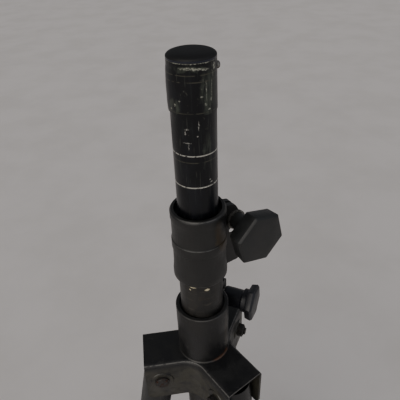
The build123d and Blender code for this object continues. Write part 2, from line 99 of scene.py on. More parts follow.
def tint(tree, mask, under, over):
    """Colour `over` laid on colour `under` where the mask is white."""
    return add(tree, "ShaderNodeMix", {"Factor": mask, 6: under, 7: over}, data_type="RGBA").outputs[2]


PITCH, ROLL = 34.2, 2.35
camera = bpy.data.objects.new("camera", bpy.data.cameras.new("camera"))
camera.data.lens = 38.97
camera.data.sensor_width = 36.0
camera.data.clip_start = 0.01
camera.matrix_world = (
    Matrix.Translation((2.1 * MM, -301.5 * MM, PLATE + 389.8 * MM))
    @ Matrix.Rotation(radians(90 - PITCH), 4, "X")
    @ Matrix.Rotation(radians(-ROLL), 4, "Z")
)
bpy.context.scene.collection.objects.link(camera)
bpy.context.scene.camera = camera

FLOOR_HALF = 14.0
floor_mesh = bpy.data.meshes.new("floor")
corners = [(-FLOOR_HALF, -FLOOR_HALF, 0), (FLOOR_HALF, -FLOOR_HALF, 0),
           (FLOOR_HALF, FLOOR_HALF, 0), (-FLOOR_HALF, FLOOR_HALF, 0)]
floor_mesh.from_pydata(corners, [], [(0, 1, 2, 3)])
floor_sheet = bpy.data.objects.new("floor", floor_mesh)
floor_paint, tree, shader, place = new_material("matt floor paint", Roughness=0.9)
grime = blotches(tree, place, 0.35, 0.35, 0.7)
tree.links.new(tint(tree, grime, linear("#ece7e3"), linear("#e4dfda")), shader.inputs["Base Color"])
floor_mesh.materials.append(floor_paint)
bpy.context.scene.collection.objects.link(floor_sheet)

sky = bpy.data.worlds.new("sky")
bpy.context.scene.world = sky
sky.use_nodes = True
sky.node_tree.nodes["Background"].inputs["Color"].default_value = linear("#d4d6dc")
sky.node_tree.nodes["Background"].inputs["Strength"].default_value = 0.26
SUNS = {                        # where it shines from, strength, spread in degrees, colour
    "window": ((-0.55, -1.0, 0.62), 1.5, 50.0, "#fff8f0"),
    "fill": ((0.9, -0.55, 0.75), 0.45, 70.0, "#eef2ff"),
}
for name, (direction, strength, spread, colour) in SUNS.items():
    lamp = bpy.data.objects.new(name, bpy.data.lights.new(name, "SUN"))
    lamp.data.energy = strength
    lamp.data.angle = radians(spread)
    lamp.data.color = linear(colour)[:3]
    lamp.rotation_mode = "QUATERNION"
    lamp.rotation_quaternion = Vector(direction).to_track_quat("Z", "Y")
    bpy.context.scene.collection.objects.link(lamp)

# ---- Main tube ------------------------------------------------------------------------------
# Drawn steel tube, painted black and rubbed grey-brown where the hub and collar have run on it.
# Scuffs go round it, and pale primer shows in chips just under the collar.


def times(tree, a, b):
    """Product of two masks."""
    return add(tree, "ShaderNodeMath", {0: a, 1: b}, operation="MULTIPLY", use_clamp=True).outputs[0]


def either(tree, a, b):
    """The stronger of two masks."""
    return add(tree, "ShaderNodeMath", {0: a, 1: b}, operation="MAXIMUM").outputs[0]


def ramp(tree, mask, low, high):
    """Value that runs from low to high with the mask."""
    return add(tree, "ShaderNodeMapRange", {"Value": mask, "To Min": low, "To Max": high}).outputs[0]


def emboss(tree, shader, height, depth, strength=1.0):
    """Bump of the given depth in metres, on top of whatever bump the shader has."""
    links = {"Height": height, "Distance": depth, "Strength": strength}
    if shader.inputs["Normal"].is_linked:
        links["Normal"] = shader.inputs["Normal"].links[0].from_socket
    bump = add(tree, "ShaderNodeBump", links)
    tree.links.new(bump.outputs[0], shader.inputs["Normal"])


def dress(node, material):
    """Give one of the maker's parts its finish."""
    slots = nodes[node].data.materials
    if not slots:
        slots.append(material)
    for index in range(len(slots)):
        slots[index] = material


def round_the_pole(tree, place):
    """Coordinates on the pole: distance round it from the front, height above the plate."""
    split = add(tree, "ShaderNodeSeparateXYZ", {0: place})
    behind = add(tree, "ShaderNodeMath", {0: split.outputs[1], 1: -1.0}, operation="MULTIPLY")
    turn = add(tree, "ShaderNodeMath", {0: split.outputs[0], 1: behind.outputs[0]}, operation="ARCTAN2")
    height = add(tree, "ShaderNodeMath", {0: split.outputs[2], 1: PLATE}, operation="SUBTRACT")
    return turn.outputs[0], height.outputs[0]


def marks(tree, turn, height, ragged, spots, radius):
    """Mask of single marks; each is (degrees from the front, height, half width, half height)."""
    flat = add(tree, "ShaderNodeCombineXYZ", {"X": turn, "Y": height})
    cell = add(tree, "ShaderNodeVectorMath", {
        0: flat.outputs[0], 1: (radius, 1.0, 0.0)}, operation="MULTIPLY")
    bent = add(tree, "ShaderNodeVectorMath", {0: cell.outputs[0], 1: ragged}, operation="ADD")
    mask = None
    for angle, level, wide, high in spots:
        centre = (radians(angle) * radius, level * MM, 0.0)
        off = add(tree, "ShaderNodeVectorMath", {0: bent.outputs[0], 1: centre}, operation="SUBTRACT")
        unit = add(tree, "ShaderNodeVectorMath", {
            0: off.outputs[0], 1: (1 / (wide * MM), 1 / (high * MM), 0.0)}, operation="MULTIPLY")
        size = add(tree, "ShaderNodeVectorMath", {0: unit.outputs[0]}, operation="LENGTH")
        spot = add(tree, "ShaderNodeMapRange", {
            "Value": size.outputs["Value"], "From Min": 1.2, "From Max": 0.6}).outputs[0]
        mask = either(tree, mask, spot) if mask else spot
    return mask


def wobble(tree, place, size, reach):
    """Vector that shifts a mark's outline by up to `reach` metres, so that it isn't an oval."""
    cloud = add(tree, "ShaderNodeTexNoise", {
        "Vector": place, "Scale": 1 / size, "Detail": 5.0, "Roughness": 0.7})
    middle = add(tree, "ShaderNodeVectorMath", {0: cloud.outputs["Color"], 1: (0.5, 0.5, 0.5)},
                 operation="SUBTRACT")
    scaled = add(tree, "ShaderNodeVectorMath", {0: middle.outputs[0], 1: (2 * reach, 2 * reach, 0)},
                 operation="MULTIPLY")
    return scaled.outputs[0]


# Sprayed satin enamel on steel: a soft sheen, brown-grey where the paint is rubbed thin.
TUBE_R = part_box("main_tube")[1].x
TUBE_CHIPS = ((-22, 102.0, 3.0, 1.2), (15, 98.8, 2.4, 1.5), (-30, 98.0, 1.0, 0.7))
TUBE_OIL = ((-3, 100.5, 3.2, 3.4), (30, 96.0, 3.0, 6.0))
tube_paint, tree, shader, place = new_material("rubbed satin enamel", Roughness=0.5)
turn, height = round_the_pole(tree, place)
rubbed = blotches(tree, place, 0.014, 0.42, 0.66, (1, 1, 0.6))
scuffs = blotches(tree, place, 0.006, 0.56, 0.70, (0.25, 0.25, 2.2), 5.0)
stain = blotches(tree, place, 0.009, 0.55, 0.72)
chips = marks(tree, turn, height, wobble(tree, place, 0.002, 0.0012), TUBE_CHIPS, TUBE_R)
toned_spots = marks(tree, turn, height, wobble(tree, place, 0.005, 0.0030), TUBE_OIL, TUBE_R)
colour = tint(tree, rubbed, linear("#141413"), linear("#252320"))
colour = tint(tree, times(tree, scuffs, 0.5), colour, linear("#46423b"))
colour = tint(tree, times(tree, stain, 0.3), colour, linear("#2e261b"))
colour = tint(tree, times(tree, toned_spots, 0.6), colour, linear("#0d0c0b"))
colour = tint(tree, times(tree, chips, 0.95), colour, linear("#cfc5a6"))
tree.links.new(colour, shader.inputs["Base Color"])
tree.links.new(ramp(tree, rubbed, 0.42, 0.62), shader.inputs["Roughness"])
emboss(tree, shader, blotches(tree, place, 0.0012, 0.3, 0.7), 0.00005, 0.6)
emboss(tree, shader, scuffs, -0.00012)
dress("main_tube", tube_paint)

# ---- End plug -------------------------------------------------------------------------------
# Black polyethylene plug pushed into the foot of the main tube, with a short lip under it.
# Moulded matt, slightly greyed by dust.
plug_plastic, tree, shader, place = new_material("moulded polyethylene", Roughness=0.6, IOR=1.5)
dust = blotches(tree, place, 0.006, 0.4, 0.7)
tree.links.new(tint(tree, times(tree, dust, 0.5), linear("#101012"), linear("#222120")),
               shader.inputs["Base Color"])
tree.links.new(ramp(tree, dust, 0.5, 0.75), shader.inputs["Roughness"])
emboss(tree, shader, blotches(tree, place, 0.0009, 0.3, 0.7), 0.00004, 0.5)
dress("tube_end_plug", plug_plastic)

# ---- Lower bracket --------------------------------------------------------------------------
# Cast and enamelled ring screwed to the main tube, with three pairs of slotted ears.
# The enamel is thin on its edges, and dust lies on its upper faces.


def finish_mesh(name, mesh, body, material, replaced=(), angle=32):
    """Make a closed mesh a piece of the stand: outward faces, smooth sides, material and body."""
    work = bmesh.new()
    work.from_mesh(mesh)
    bmesh.ops.recalc_face_normals(work, faces=work.faces)
    work.to_mesh(mesh)
    work.free()
    mesh.shade_smooth()
    mesh.set_sharp_from_angle(angle=radians(angle))
    mesh.materials.clear()
    mesh.materials.append(material)
    piece = bpy.data.objects.new(name, mesh)
    bpy.context.scene.collection.objects.link(piece)
    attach(piece, body)
    if replaced:
        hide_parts(*replaced)
    return piece


def softened(name, node, body, material, width, segments=2, angle=28):
    """The maker's part with its sharp edges rounded off by `width`."""
    mesh = bpy.data.meshes.new(name)
    work = bmesh.new()
    work.from_mesh(nodes[node].data)
    bmesh.ops.remove_doubles(work, verts=work.verts, dist=2e-6)
    bmesh.ops.dissolve_limit(work, angle_limit=radians(0.6), verts=work.verts, edges=work.edges)
    work.to_mesh(mesh)
    work.free()
    piece = finish_mesh(name, mesh, body, material, (node,), angle)
    bevel = piece.modifiers.new("rounded edges", "BEVEL")
    bevel.width = width
    bevel.segments = segments
    bevel.limit_method = "ANGLE"
    bevel.angle_limit = radians(angle)
    bevel.use_clamp_overlap = True
    bevel.harden_normals = True
    return piece


def enamel(name, base, worn, dusty, dust_low=0.45, extra=None):
    """Semi-matt stoved enamel: orange peel, dust in patches, paler where hands have rubbed it."""
    material, tree, shader, place = new_material(name, Roughness=0.5, IOR=1.5)
    film = blotches(tree, place, 0.018, dust_low, dust_low + 0.25)
    grit = blotches(tree, place, 0.0016, 0.5, 0.72)
    scrape = blotches(tree, place, 0.005, 0.62, 0.70, (1, 1, 0.3), 6.0)
    colour = tint(tree, times(tree, film, 0.7), linear(base), linear(dusty))
    colour = tint(tree, times(tree, grit, 0.35), colour, linear(dusty))
    colour = tint(tree, times(tree, scrape, 0.5), colour, linear(worn))
    if extra:
        colour = extra(tree, place, colour)
    tree.links.new(colour, shader.inputs["Base Color"])
    tree.links.new(ramp(tree, film, 0.42, 0.66), shader.inputs["Roughness"])
    emboss(tree, shader, blotches(tree, place, 0.0022, 0.3, 0.7, detail=1.0), 0.00006, 0.6)
    emboss(tree, shader, scrape, -0.00008)
    return material


bracket_enamel = enamel("stoved enamel on the bracket", "#151516", "#3c3a37", "#232220")
softened("bracket_ring", "lower_bracket", "main_tube", bracket_enamel, 0.6 * MM)

# ---- Bracket screws -------------------------------------------------------------------------
# Three hexagon-headed screws hold the bracket to the tube, one between each pair of ears.
# Their zinc plate has gone: grey steel, with orange-brown rust that is rough and matt.


def rusted(name, steel, rust_colour, low, high):
    """Zinc plate that rust has broken through; low and high say how much of it is rust."""
    material, tree, shader, place = new_material(name, Metallic=0.35, Roughness=0.7)
    rust = blotches(tree, place, 0.0035, low, high)
    pits = blotches(tree, place, 0.0008, 0.4, 0.65)
    colour = tint(tree, rust, linear(steel), linear(rust_colour))
    colour = tint(tree, times(tree, pits, 0.6), colour, linear("#1b1310"))
    tree.links.new(colour, shader.inputs["Base Color"])
    tree.links.new(ramp(tree, rust, 0.45, 0.85), shader.inputs["Roughness"])
    emboss(tree, shader, pits, 0.00015)
    return material


def fastener_nodes():
    """Heads of screws, bolts or nuts: a prism with a tapered crown and a stud, on each seat."""
    tree = bpy.data.node_groups.new("heads on their seats", "GeometryNodeTree")
    tree.is_modifier = True
    tree.interface.new_socket("Geometry", in_out="INPUT", socket_type="NodeSocketGeometry")
    tree.interface.new_socket("Geometry", in_out="OUTPUT", socket_type="NodeSocketGeometry")
    tree.interface.new_socket("Corners", in_out="INPUT", socket_type="NodeSocketInt")
    for name in ("Head radius", "Head height", "Crown radius", "Crown height", "Stud radius", "Stud height"):
        tree.interface.new_socket(name, in_out="INPUT", socket_type="NodeSocketFloat")
    tree.interface.new_socket("Finish", in_out="INPUT", socket_type="NodeSocketMaterial")
    given = add(tree, "NodeGroupInput").outputs
    head = add(tree, "GeometryNodeMeshCylinder", {
        "Vertices": given["Corners"], "Radius": given["Head radius"], "Depth": given["Head height"]})
    middle = add(tree, "ShaderNodeMath", {0: given["Head height"], 1: 0.5}, operation="MULTIPLY")
    lift = add(tree, "ShaderNodeCombineXYZ", {"Z": middle.outputs[0]})
    head = add(tree, "GeometryNodeTransform", {"Geometry": head.outputs[0], "Translation": lift.outputs[0]})
    inset = add(tree, "ShaderNodeMath", {0: given["Head radius"], 1: 0.86}, operation="MULTIPLY")
    crown = add(tree, "GeometryNodeMeshCone", {
        "Vertices": 40, "Radius Bottom": inset.outputs[0], "Radius Top": given["Crown radius"],
        "Depth": given["Crown height"]})
    top = add(tree, "ShaderNodeCombineXYZ", {"Z": given["Head height"]})
    crown = add(tree, "GeometryNodeTransform", {"Geometry": crown.outputs[0], "Translation": top.outputs[0]})
    stud = add(tree, "GeometryNodeMeshCylinder", {
        "Vertices": 24, "Radius": given["Stud radius"], "Depth": given["Stud height"]})
    half = add(tree, "ShaderNodeMath", {0: given["Stud height"], 1: 0.5}, operation="MULTIPLY")
    rise = add(tree, "ShaderNodeCombineXYZ", {"Z": half.outputs[0]})
    stud = add(tree, "GeometryNodeTransform", {"Geometry": stud.outputs[0], "Translation": rise.outputs[0]})
    whole = add(tree, "GeometryNodeJoinGeometry")
    for part in (stud, crown, head):
        tree.links.new(part.outputs[0], whole.inputs[0])
    facing = add(tree, "GeometryNodeInputNamedAttribute", {"Name": "facing"}, data_type="FLOAT_VECTOR")
    aim = add(tree, "FunctionNodeAlignRotationToVector", {"Vector": facing.outputs[0]}, axis="Z")
    seated = add(tree, "GeometryNodeInstanceOnPoints", {
        "Points": given["Geometry"], "Instance": whole.outputs[0], "Rotation": aim.outputs[0]})
    real = add(tree, "GeometryNodeRealizeInstances", {0: seated.outputs[0]})
    painted = add(tree, "GeometryNodeSetMaterial", {0: real.outputs[0], "Material": given["Finish"]})
    add(tree, "NodeGroupOutput", {0: painted.outputs[0]})
    return tree


HEADS = fastener_nodes()


def heads(name, seats, body, material, replaced, slot, **sizes):
    """One piece of like fasteners; seats are (point, direction it faces), sizes in millimetres."""
    mesh = bpy.data.meshes.new(name)
    mesh.from_pydata([tuple(point) for point, _ in seats], [], [])
    facing = mesh.attributes.new("facing", "FLOAT_VECTOR", "POINT")
    for item, (_, way) in zip(facing.data, seats):
        item.vector = tuple(way)
    holder = bpy.data.objects.new(name + "_seats", mesh)
    bpy.context.scene.collection.objects.link(holder)
    modifier = holder.modifiers.new("heads", "NODES")
    modifier.node_group = HEADS
    values = {key.replace("_", " ").capitalize(): value * MM for key, value in sizes.items()}
    values["Corners"] = round(sizes["corners"])
    values["Finish"] = material
    for socket in HEADS.interface.items_tree:
        if socket.name in values:
            modifier[socket.identifier] = values[socket.name]
    ready = holder.evaluated_get(bpy.context.evaluated_depsgraph_get())
    plain = bpy.data.meshes.new_from_object(ready)
    plain.name = name
    bpy.data.objects.remove(holder)
    return finish_mesh(name, plain, body, material, replaced, 30)


def lobe(side):
    """Outward direction of a lobe, the direction across it, and its pivot point."""
    pivot = Vector(joints[f"{side}_leg_swing"]["pos_m"])
    out = Vector((pivot.x, pivot.y, 0)).normalized()
    return out, Vector((-out.y, out.x, 0)), pivot


LOBES = ("left", "right", "rear")
LEG_SPLAY = radians(10)
BRACE_REACH = 310 * MM                      # from the leg's pivot to its brace pin, and along a brace
BRACKET_SCREW_R, BRACKET_SCREW_DROP = 26.3 * MM, 7 * MM
rusty = rusted("rusted zinc plate", "#45433f", "#4d2c1d", 0.38, 0.58)
BRACKET_Z = joints["left_leg_swing"]["pos_m"][2] - 2 * BRACE_REACH * cos(LEG_SPLAY)
screw_seats = []
for side in LOBES:
    way = lobe(side)[0] * -1
    screw_seats.append((way * BRACKET_SCREW_R + Vector((0, 0, BRACKET_Z - BRACKET_SCREW_DROP)), way))
heads("bracket_screw_heads", screw_seats, "main_tube", rusty, ("bracket_screws",), "rusty_steel",
      corners=6, head_radius=5.8, head_height=3.4, crown_radius=3.8, crown_height=0.6,
      stud_radius=1.0, stud_height=0.5)

# ---- Collar ---------------------------------------------------------------------------------
# Glass-filled nylon moulding on the top of the main tube: a skirt, a rib and a mouth flange,
# with two split ears that the clamp screw draws together.  A bush inside guides the pole.
COLLAR_R = 24.5 * MM
# The pale lines along the front of the mouth rim, the rib and the lower lip are painted highlights.
COLLAR_EDGE_HIGHLIGHTS = ((0, 178.2, 24, 0.35), (-4, 148.2, 30, 0.28), (0, 106.6, 30, 0.40))
nylon, tree, shader, place = new_material("glass-filled nylon", Roughness=0.5, IOR=1.5)
turn, height = round_the_pole(tree, place)
haze = blotches(tree, place, 0.02, 0.35, 0.7)
grain = blotches(tree, place, 0.0007, 0.35, 0.65)
# Brown patches on the right side of the collar, by the ear.
toned_spots = marks(tree, turn, height, wobble(tree, place, 0.010, 0.007),
            ((44, 160, 4, 13), (56, 150, 6, 12), (70, 146, 7, 10)), COLLAR_R)
edges = marks(tree, turn, height, (0, 0, 0), COLLAR_EDGE_HIGHLIGHTS, COLLAR_R)
# Noise that breaks up the painted highlight lines.
highlight_breaks = blotches(tree, place, 0.004, 0.30, 0.55)
colour = tint(tree, haze, linear("#161615"), linear("#1d1d1c"))
colour = tint(tree, times(tree, toned_spots, 0.8), colour, linear("#3a2e1c"))
# Painted highlights: pale grey lines across the front of the rim, rib and lip.
colour = tint(tree, times(tree, edges, times(tree, highlight_breaks, 0.7)), colour, linear("#5a5956"))
tree.links.new(colour, shader.inputs["Base Color"])
tree.links.new(ramp(tree, haze, 0.42, 0.58), shader.inputs["Roughness"])
emboss(tree, shader, grain, 0.00004, 0.7)
softened("collar_moulding", "collar", "main_tube", nylon, 0.5 * MM)
dress("collar_bush", plug_plastic)

# ---- Collar rivets --------------------------------------------------------------------------
# Two round-headed rivets at the back hold the collar's skirt to the tube, with a rusty nut on
# the clamp's far ear.
COLLAR_RIVETS = (80.0, 130.0)                # azimuths
COLLAR_RIVET_R, COLLAR_RIVET_LEVEL = 25.0 * MM, 109.5 * MM
rivet_seats = []
for azimuth in COLLAR_RIVETS:
    way = Vector((cos(radians(azimuth)), sin(radians(azimuth)), 0))
    rivet_seats.append((way * COLLAR_RIVET_R + Vector((0, 0, PLATE + COLLAR_RIVET_LEVEL)), way))
heads("collar_rivet_heads", rivet_seats, "main_tube", rusty, ("collar_rivets",), "rusty_steel",
      corners=28, head_radius=3.3, head_height=0.8, crown_radius=1.6, crown_height=0.7,
      stud_radius=0.8, stud_height=0.5)
for node in ("collar_clamp_nut", "hub_clamp_nut"):
    dress(node, rusty)

# ---- Sliding pole ---------------------------------------------------------------------------
# Steel tube with a plastic glide at its foot.  Its black paint is scored through by two lines
# turned round it, and scraped by everything that has been dropped over its end.
POLE_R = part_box("inner_pole")[1].x
WORN_RINGS = ((235.6, 0.5), (207.8, 0.55))
POLE_MARKS = ((-18, 257.5, 2.0, 0.5), (-19, 246.6, 3.4, 0.35), (-15, 243.6, 0.4, 2.6), (-22, 254.5, 0.5, 2.0),
              (11, 260.0, 0.4, 3.6), (8, 252.0, 0.6, 0.8), (38, 213.5, 0.8, 0.8), (42, 211.0, 1.3, 0.7))


def bands(tree, height, levels):
    """Mask of thin rings; each level is (height, half thickness), in millimetres."""
    mask = None
    for level, half in levels:
        ring = add(tree, "ShaderNodeMath", {
            0: height, 1: level * MM, 2: half * MM}, operation="COMPARE")
        mask = either(tree, mask, ring.outputs[0]) if mask else ring.outputs[0]
    return mask


def pole_finish(name, spots, pale_patch_spots, wear, low, high, dirt, bare_metal):
    """Satin paint on steel, scraped between two heights, with single marks down to the metal."""
    material, tree, shader, place = new_material(name, Roughness=0.4, Specular_IOR_Level=0.32)
    turn, height = round_the_pole(tree, place)
    zone = add(tree, "ShaderNodeMapRange", {"Value": height, "From Min": low * MM, "From Max": high * MM},
               interpolation_type="SMOOTHSTEP").outputs[0]
    haze = blotches(tree, place, 0.011, 0.42, 0.68, (1, 1, 0.45))
    streaks = blotches(tree, place, 0.0022, 0.58, 0.74, (1, 1, 0.07), 3.0)
    hairs = blotches(tree, place, 0.0011, 0.64, 0.74, (1, 1, 0.05), 2.0)
    scrapes = blotches(tree, place, 0.0050, 0.58, 0.66, (1, 1, 0.55), 8.0, 0.75)
    crumbs = blotches(tree, place, 0.0011, 0.42, 0.60, detail=3.0)
    bare = marks(tree, turn, height, wobble(tree, place, 0.0016, 0.0011), spots, POLE_R)
    bare = times(tree, bare, ramp(tree, crumbs, 0.2, 0.95))
    # Pale greenish-grey patches at the given spots, streaked up and down.
    pale_patches = marks(tree, turn, height, wobble(tree, place, 0.008, 0.005), pale_patch_spots, POLE_R)
    pale_patches = times(tree, pale_patches, blotches(tree, place, 0.0045, 0.38, 0.62, (1, 1, 0.14), 6.0, 0.7))
    broken = blotches(tree, place, 0.0024, 0.34, 0.46)
    rings = times(tree, bands(tree, height, WORN_RINGS), broken)
    soil = times(tree, bands(tree, height, dirt), blotches(tree, place, 0.004, 0.36, 0.55))
    worn = times(tree, times(tree, scrapes, crumbs), times(tree, zone, wear))
    colour = tint(tree, times(tree, haze, 0.8), linear("#08090d"), linear("#101218"))
    colour = tint(tree, times(tree, streaks, 0.4), colour, linear("#272d2c"))
    colour = tint(tree, times(tree, hairs, 0.3), colour, linear("#5a5d54"))
    colour = tint(tree, times(tree, pale_patches, 0.7), colour, linear("#454b42"))
    colour = tint(tree, times(tree, soil, 0.7), colour, linear("#45443a"))
    colour = tint(tree, worn, colour, linear("#6c6e60"))
    metal = either(tree, bare, rings)
    colour = tint(tree, metal, colour, linear(bare_metal))
    tree.links.new(colour, shader.inputs["Base Color"])
    tree.links.new(times(tree, metal, 0.4), shader.inputs["Metallic"])
    tree.links.new(ramp(tree, haze, 0.28, 0.44), shader.inputs["Roughness"])
    emboss(tree, shader, blotches(tree, place, 0.0016, 0.3, 0.7, detail=1.0), 0.00004, 0.5)
    emboss(tree, shader, worn, -0.00010)
    emboss(tree, shader, metal, -0.00010)
    return material


# One pale greenish-grey patch on the pole's right side.
pole_paint = pole_finish("scored satin pole paint", POLE_MARKS, ((34, 236, 4, 16),), 0.8, 222.0, 285.0,
                         ((230.0, 0.4),), "#b4b3ab")
dress("inner_pole", pole_paint)
dress("pole_glide", plug_plastic)

# ---- Pole ferrule ---------------------------------------------------------------------------
# Thin steel sleeve pressed over the pole's end and held by two rivets.  It stands a little
# proud and has been knocked out of round on one side; its upper edge is bare metal.


def skinned(name, rings, wrap=False):
    """Closed mesh through rings of points; a ring of one point closes an end, wrap joins the ends."""
    points, faces, starts = [], [], []
    for ring in rings:
        starts.append(len(points))
        points.extend(ring)
    pairs = [(i, i + 1) for i in range(len(rings) - 1)] + ([(len(rings) - 1, 0)] if wrap else [])
    for low, high in pairs:
        count = max(len(rings[low]), len(rings[high]))
        for i in range(count):
            j = (i + 1) % count
            corner = [starts[low] + i % len(rings[low]), starts[low] + j % len(rings[low]),
                      starts[high] + j % len(rings[high]), starts[high] + i % len(rings[high])]
            faces.append(list(dict.fromkeys(corner)))
    mesh = bpy.data.meshes.new(name)
    mesh.from_pydata([Vector(p) for p in points], [], faces)
    mesh.validate()
    return mesh


def turned(outline, count=96, shape=None):
    """Rings of a lathe-turned form from (radius, height) points; shape may push a point outward."""
    rings = []
    for radius, level in outline:
        if radius < 1e-7:
            rings.append([(0, 0, level)])
            continue
        ring = []
        for i in range(count):
            angle = tau * i / count
            out = radius + (shape(angle, level, radius) if shape else 0.0)
            ring.append((out * cos(angle), out * sin(angle), level))
        rings.append(ring)
    return rings


FERRULE_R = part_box("pole_ferrule")[1].x
FERRULE_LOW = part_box("pole_ferrule")[0].z
FERRULE_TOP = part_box("pole_ferrule")[1].z
FERRULE_STEPS = 36
DENT_ANGLE, DENT_WIDTH, DENT_DEPTH = radians(188), radians(38), 1.0 * MM


def knocked(angle, level, radius):
    """Outward push of the ferrule's skin: one swollen side and shallow ripples."""
    if radius < POLE_R + 0.2 * MM:
        return 0.0
    off = (angle - DENT_ANGLE + pi) % tau - pi
    up = (level - FERRULE_LOW) / (FERRULE_TOP - FERRULE_LOW)
    swell = DENT_DEPTH * exp(-(off / DENT_WIDTH) ** 2) * sin(pi * min(1.0, 0.12 + up)) ** 0.6
    ripple = noise.noise(Vector((cos(angle) * 2, sin(angle) * 2, level * 90))) * 0.22 * MM
    return max(0.0, swell + ripple)


ferrule_side = [(FERRULE_R, FERRULE_LOW + (FERRULE_TOP - FERRULE_LOW) * k / FERRULE_STEPS)
                for k in range(1, FERRULE_STEPS)]
ferrule_outline = (
    [(POLE_R, FERRULE_LOW), (FERRULE_R - 0.1 * MM, FERRULE_LOW)] + ferrule_side
    + [(FERRULE_R, FERRULE_TOP - 0.25 * MM), (FERRULE_R - 0.25 * MM, FERRULE_TOP), (POLE_R, FERRULE_TOP)]
)
FERRULE_MARKS = ((0, 304.4, 70, 0.32), (-8, 301.2, 6.0, 0.9), (14, 300.6, 5.5, 0.7), (30, 299.8, 3.0, 0.6),
                 (58, 300.5, 1.6, 2.4), (32, 285.5, 0.30, 7.0), (48, 284.5, 0.30, 7.5),
                 (-57, 271.5, 0.7, 0.9), (-44, 275.0, 0.9, 1.1), (-31, 278.5, 1.0, 0.6),
                 (20, 281.5, 1.3, 0.5), (30, 275.5, 1.0, 1.1), (40, 271.5, 1.4, 0.7), (45, 278.5, 0.5, 1.6))
FERRULE_SCUFFS = ((40, 282, 7, 17), (-6, 300.5, 15, 2.0), (-46, 274, 5, 5))
ferrule_mesh = skinned("pole_ferrule_skin", turned(ferrule_outline, 120, knocked), wrap=True)
ferrule_paint = pole_finish("scraped ferrule paint", FERRULE_MARKS, FERRULE_SCUFFS, 0.9, 262.0, 292.0,
                            ((296.4, 0.35), (291.8, 0.4), (269.5, 0.35)), "#a3a497")
finish_mesh("pole_ferrule_skin", ferrule_mesh, "pole", ferrule_paint, ("pole_ferrule",))

# ---- Pole cap -------------------------------------------------------------------------------
# Moulded plastic cap with a short upright rim and a low domed top, on a spigot in the pole.
# Near black, with a smooth band round its rim that carries a painted bluish highlight.
CAP_LOW, CAP_TOP = FERRULE_TOP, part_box("pole_cap")[1].z
SPIGOT_R, SPIGOT_FOOT = POLE_R - 1.5 * MM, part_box("pole_cap")[0].z
CAP_RIM = 1.3 * MM
DOME_STEPS = 14
CAP_WALL = 3 * MM
cap_outline = [(0.0, CAP_TOP - CAP_WALL), (SPIGOT_R - CAP_WALL, CAP_TOP - CAP_WALL),
               (SPIGOT_R - CAP_WALL, SPIGOT_FOOT), (SPIGOT_R, SPIGOT_FOOT), (SPIGOT_R, CAP_LOW),
               (FERRULE_R, CAP_LOW)]
for k in range(DOME_STEPS + 1):
    lean = pi / 2 * k / DOME_STEPS
    rise = (CAP_TOP - CAP_LOW - CAP_RIM) * sin(lean)
    cap_outline.append((FERRULE_R * cos(lean) ** 0.55, CAP_LOW + CAP_RIM + rise))
cap_outline[-1] = (0.0, CAP_TOP)
cap_plastic, tree, shader, place = new_material("black plastic with a painted lit band", Roughness=0.55, IOR=1.45)
turn, height = round_the_pole(tree, place)
dust = blotches(tree, place, 0.004, 0.45, 0.75)
# Painted bluish highlight on the band round the cap's rim.
lit_rim_band = bands(tree, height, ((305.3, 0.6),))
colour = tint(tree, times(tree, dust, 0.5), linear("#070708"), linear("#111112"))
colour = tint(tree, times(tree, lit_rim_band, 0.5), colour, linear("#262a3c"))
tree.links.new(colour, shader.inputs["Base Color"])
tree.links.new(ramp(tree, lit_rim_band, 0.6, 0.28), shader.inputs["Roughness"])
emboss(tree, shader, blotches(tree, place, 0.0008, 0.3, 0.7), 0.00004, 0.6)
cap_mesh = skinned("pole_cap_moulding", turned(cap_outline))
finish_mesh("pole_cap_moulding", cap_mesh, "pole", cap_plastic, ("pole_cap",))

# ---- Ferrule rivets -------------------------------------------------------------------------
# Two small domed rivets through the ferrule, high on one side and low on the other.
# Bright once, now dull and dirty round the head.
RIVETS = ((-2.0, 298.4, 2.8, 2.0), (172.0, 274.6, 2.0, 1.2))    # azimuth, height, radius, rise


def dome(centre, out, radius, rise, sunk, count=28, steps=5):
    """Rings of a domed head on a short shank, facing along `out`."""
    turn_to = out.to_track_quat("Z", "Y").to_matrix()
    outline = [(0.0, -sunk), (radius, -sunk)]
    outline += [(radius * cos(pi / 2 * k / steps), rise * sin(pi / 2 * k / steps)) for k in range(steps)]
    outline += [(0.0, rise)]
    return [[centre + turn_to @ Vector(p) for p in ring] for ring in turned(outline, count)]


def joined(name, meshes):
    """One mesh from several."""
    work = bmesh.new()
    for mesh in meshes:
        work.from_mesh(mesh)
    whole = bpy.data.meshes.new(name)
    work.to_mesh(whole)
    work.free()
    return whole


zinc, tree, shader, place = new_material("dull zinc plate", Metallic=0.85, Roughness=0.45)
tarnish = blotches(tree, place, 0.003, 0.4, 0.65)
tree.links.new(tint(tree, tarnish, linear("#8b8a86"), linear("#4e4a44")), shader.inputs["Base Color"])
tree.links.new(ramp(tree, tarnish, 0.38, 0.6), shader.inputs["Roughness"])
emboss(tree, shader, blotches(tree, place, 0.0006, 0.3, 0.7), 0.00004, 0.6)
rivets = []
for azimuth, level, radius, rise in RIVETS:
    out = Vector((cos(radians(azimuth)), sin(radians(azimuth)), 0))
    centre = out * (FERRULE_R + 0.1 * MM) + Vector((0, 0, PLATE + level * MM))
    rivets.append(skinned("rivet", dome(centre, out, radius * MM, rise * MM, 2.2 * MM)))
finish_mesh("ferrule_rivet_heads", joined("ferrule_rivet_heads", rivets), "pole", zinc,
            ("ferrule_rivets",))

# ---- Clamp knobs ----------------------------------------------------------------------------
# Two hexagonal plastic grips moulded on steel studs: a thick one on the collar and a smaller,
# thinner one on the hub.  Each has a narrow chamfer round its face and a coned back.
KNOB_FACE = 45.5 * MM
WASHER_STACK = 2.3                           # washer and its play, in millimetres
ARC_STEPS = 6
KNOBS = {                 # near face of the ears, then the grip: radius, thickness, neck, turn; colours
    "collar": (8.0, 25.4, 14.8, 8.0, 45.0, "#151616", "#1d1f1f"),
    "hub": (9.0, 19.6, 8.4, 10.5, 44.0, "#0f1015", "#171820"),
}


